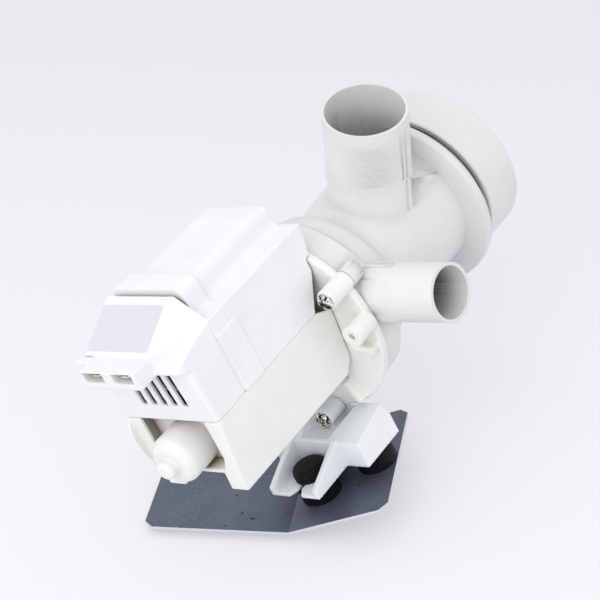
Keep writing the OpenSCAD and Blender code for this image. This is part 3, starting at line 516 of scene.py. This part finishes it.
# %% Coil wire
def coil_tree(name, sizes, layers, finish):
    bench, size = new_tree(name, sizes)
    line = bench.add("GeometryNodeMeshLine", None, {"Count": size["Points"]})
    laps = bench.add("GeometryNodeInputIndex") / (size["Points"] - 1) * size["Turns"]
    lap = bench.add("ShaderNodeMath", {"operation": "FRACT"}, {0: laps})
    climb = bench.add("ShaderNodeCombineXYZ", None, {"Z": laps * size["Wire"] + size["Wire"] * 0.5})
    section = bench.add("GeometryNodeCurvePrimitiveCircle", None,
                        {"Resolution": 6, "Radius": size["Wire"] * 0.49})
    joined = bench.add("GeometryNodeJoinGeometry")
    for layer in range(layers):
        loop = bench.add("GeometryNodeCurvePrimitiveQuadrilateral", None,
                         {"Width": size["Wire"] * (2 * layer + 1) + size["Width"],
                          "Height": size["Wire"] * (2 * layer + 1) + size["Length"]})
        loop = bench.add("GeometryNodeFilletCurve", {"mode": "POLY"},
                         {"Curve": loop, "Count": 5, "Radius": size["Wire"] * (layer + 0.6)})
        spot = bench.add("GeometryNodeSampleCurve", {"mode": "FACTOR"},
                         {"Curves": loop, "Factor": lap}, 1)
        spot = bench.add("ShaderNodeVectorMath", {"operation": "ADD"}, {0: spot, 1: climb})
        wound = bench.add("GeometryNodeSetPosition", None, {"Geometry": line, "Position": spot})
        path = bench.add("GeometryNodeMeshToCurve", None, {"Mesh": wound})
        wire = bench.add("GeometryNodeCurveToMesh", None,
                         {"Curve": path, "Profile Curve": section, "Fill Caps": True})
        bench.tree.links.new(wire.socket, joined.socket.node.inputs[0])
    return close_tree(bench, joined, finish)


LAYERS = 3
COIL_OUT, COIL_ALONG, COIL_LOW = 10.25, -52, 22.4
coil_sizes = {"Points": 900, "Turns": 18.0, "Width": 11.4 * MM, "Length": 38.9 * MM,
              "Wire": 1.24 * MM}
coil = coil_tree("coil_wire", coil_sizes, LAYERS, copper)
for side, middle in (("left", -COIL_OUT), ("right", COIL_OUT)):
    wound = grow("coil_wire_" + side, coil, coil_sizes, "copper",
                 ON_PLATE @ Matrix.Translation(Vector((middle, COIL_ALONG, COIL_LOW)) * MM), "pump")
    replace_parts(wound, "coil_winding_" + side)

# %% [markdown]
# The mouldings have soft edges all over. A copy of each solid is rebuilt from small voxels, which
# rounds every edge alike, then smoothed a little and thinned. The copy stands for the solid in the
# picture, and the solid is kept but hidden.


# %% Softened mouldings
def plain_copy(node, name):
    """A merged copy of a solid's mesh, because a solid comes as loose triangles."""
    shell = bmesh.new()
    shell.from_mesh(nodes[node].data)
    bmesh.ops.remove_doubles(shell, verts=shell.verts, dist=1e-6)
    mesh = bpy.data.meshes.new(name)
    shell.to_mesh(mesh)
    shell.free()
    return mesh


def reshaped(mesh, steps):
    """The mesh after a row of modifiers, each given as its kind and its settings."""
    holder = bpy.data.objects.new("holder", mesh)
    bpy.context.collection.objects.link(holder)
    for kind, settings in steps:
        modifier = holder.modifiers.new(kind.lower(), kind)
        for label, value in settings.items():
            setattr(modifier, label, value)
    bpy.context.view_layer.update()
    made = bpy.data.meshes.new_from_object(
        holder.evaluated_get(bpy.context.evaluated_depsgraph_get()))
    bpy.data.objects.remove(holder)
    return made


def soften(node, name, voxel, rounds, most):
    """A rounded copy of a solid that replaces it in the picture, with at most so many triangles."""
    mesh = reshaped(plain_copy(node, name),
                    [("REMESH", {"mode": "VOXEL", "voxel_size": voxel * MM})])
    share = min(1.0, most / (2 * len(mesh.polygons)))
    soft = reshaped(mesh, [("SMOOTH", {"factor": 0.5, "iterations": rounds}),
                           ("DECIMATE", {"ratio": share})])
    soft.polygons.foreach_set("use_smooth", [True] * len(soft.polygons))
    piece = set_piece(name, soft, slots[node], "pump")
    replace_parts(piece, node)


soften("motor_cover", "cover_moulding", 0.32, 10, 150000)
soften("mount_bracket", "bracket_moulding", 0.4, 4, 60000)
soften("bearing_holder", "bearing_moulding", 0.5, 5, 40000)
soften("motor_frame", "frame_moulding", 0.45, 5, 90000)
soften("motor_flange", "flange_moulding", 0.45, 4, 90000)

# %% [markdown]
# The two tubes of the housing carry a hair of extra thickness below the hose's reach, and the step
# would draw a line that the moulding doesn't show. A copy of the housing brings the rim of that
# step back to the tube's own radius, so the thicker part runs out in a slight cone. Edges sharper
# than a third of a right angle stay sharp.

# %% Housing with run-out steps
INLET_STEP, OUTLET_R, OUTLET_STEP, STEP_T = 45.6, 13.5, 56.9, 0.3
OUTLET_Y, OUTLET_RISE = 13.5, 6.4
AT_STEP = 0.05 * MM
ALONG_OUTLET = (ON_PLATE @ Matrix.Translation(Vector((0, OUTLET_Y, OUTLET_RISE)) * MM)
                @ Matrix.Rotation(math.radians(90), 4, "Y"))


def run_out(mesh, along, radius, station):
    """Brings the points of a step at one station of a tube back to the tube's radius."""
    back, count = along.inverted(), 0
    for point in mesh.vertices:
        spot = back @ point.co
        out = math.hypot(spot.x, spot.y)
        if abs(spot.z - station * MM) < AT_STEP and abs(out - (radius + STEP_T) * MM) < AT_STEP:
            share = radius * MM / out
            point.co = along @ Vector((spot.x * share, spot.y * share, spot.z))
            count += 1
    return count


housing = plain_copy("pump_housing", "housing_moulding")
print("step points moved:", run_out(housing, ALONG_INLET, INLET_R, INLET_STEP),
      run_out(housing, ALONG_OUTLET, OUTLET_R, OUTLET_STEP))
joined_up = bmesh.new()
joined_up.from_mesh(housing)
bmesh.ops.remove_doubles(joined_up, verts=joined_up.verts, dist=1e-5)
joined_up.to_mesh(housing)
joined_up.free()
housing.polygons.foreach_set("use_smooth", [True] * len(housing.polygons))
housing.set_sharp_from_angle(angle=math.radians(30))
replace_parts(set_piece("housing_moulding", housing, "housing_grey", "pump"), "pump_housing")

# %% [markdown]
# The pump lies on a plain pale sheet, and the light is a studio's: a white dome that is brightest
# in front, and one wide lamp high in front on the left, so that the sides stay nearly as pale as
# the tops. The sheet is a diffuse white whose colour is painted a little darker towards the back, a
# painted shade for the light falling off. Seen by the camera it glows a little by itself,
# which pales the pump's shadow without more light on the pump.


# %% Floor and light
FLOOR_Z, FLOOR_HALF = -0.0035, 6
SEEN_RAYS = ("Is Camera Ray", "Is Glossy Ray", "Is Transmission Ray")
BRIGHT_SIDE = (-0.1, -0.75, 0.65)
PUMP_MIDDLE = Vector((0.04, 0.03, 0.08))


def sweep(name, tint, lift):
    material, bench, place = new_finish(name)
    far_off = bench.add("ShaderNodeSeparateXYZ", None, {"Vector": place}, 1)
    # painted shade: the floor's colour darkens towards the back, standing for the light's falloff
    pale_with_painted_falloff = bench.mix(bench.ramp(far_off, -0.2, 0.7), tint, tone(232, 231, 236))
    ray = bench.add("ShaderNodeLightPath").socket.node.outputs
    seen = [Wire(bench, ray[kind]) for kind in SEEN_RAYS]
    either = bench.add("ShaderNodeClamp", None, {"Value": seen[0] + seen[1] + seen[2]})
    sheet = bench.add("ShaderNodeBsdfPrincipled", None,
                      {"Base Color": bench.mix(either, tone(226, 226, 230), pale_with_painted_falloff),
                       "Roughness": 0.85, "Specular IOR Level": 0.1})
    shine = bench.add("ShaderNodeEmission", None, {"Color": pale_with_painted_falloff, "Strength": 1.0})
    both = bench.add("ShaderNodeMixShader", None, {0: either * lift, 1: sheet, 2: shine})
    bench.add("ShaderNodeOutputMaterial", None, {"Surface": both})
    return material


ground = bmesh.new()
bmesh.ops.create_grid(ground, x_segments=1, y_segments=1, size=FLOOR_HALF)
ground_mesh = bpy.data.meshes.new("floor")
ground.to_mesh(ground_mesh)
ground.free()
ground_mesh.materials.append(sweep("floor_white", tone(247, 246, 251), 0.5))
floor = bpy.data.objects.new("floor", ground_mesh)
floor.location.z = FLOOR_Z
bpy.context.collection.objects.link(floor)

world = bpy.data.worlds.new("studio")
bpy.context.scene.world = world
world.use_nodes = True
world.node_tree.nodes.clear()
dome = Bench(world.node_tree)
toward = dome.add("ShaderNodeTexCoord", None, None, 0)
rise = dome.add("ShaderNodeVectorMath", {"operation": "DOT_PRODUCT"},
                {0: toward, 1: BRIGHT_SIDE}, 1)
glow = dome.add("ShaderNodeBackground", None,
                {"Color": (0.98, 0.98, 1.0, 1),
                 "Strength": dome.ramp(rise, -0.5, 0.9, 0.82, 1.02)})
dome.add("ShaderNodeOutputWorld", None, {"Surface": glow})


def soft_lamp(name, place, size, power):
    """A square lamp that looks at the middle of the pump."""
    lamp = bpy.data.lights.new(name, "AREA")
    lamp.size, lamp.energy = size, power
    thing = bpy.data.objects.new(name, lamp)
    thing.location = place
    aim = PUMP_MIDDLE - Vector(place)
    thing.rotation_euler = aim.to_track_quat("-Z", "Y").to_euler()
    bpy.context.collection.objects.link(thing)
    print(name, "lamp of", power, "W,", round(aim.length, 2), "m away")


soft_lamp("key", (-0.35, -1.4, 1.2), 1.4, 7.5)

# %% [markdown]
# One view transform keeps colours as written.

# %% Close
bpy.context.scene.view_settings.view_transform = "Standard"
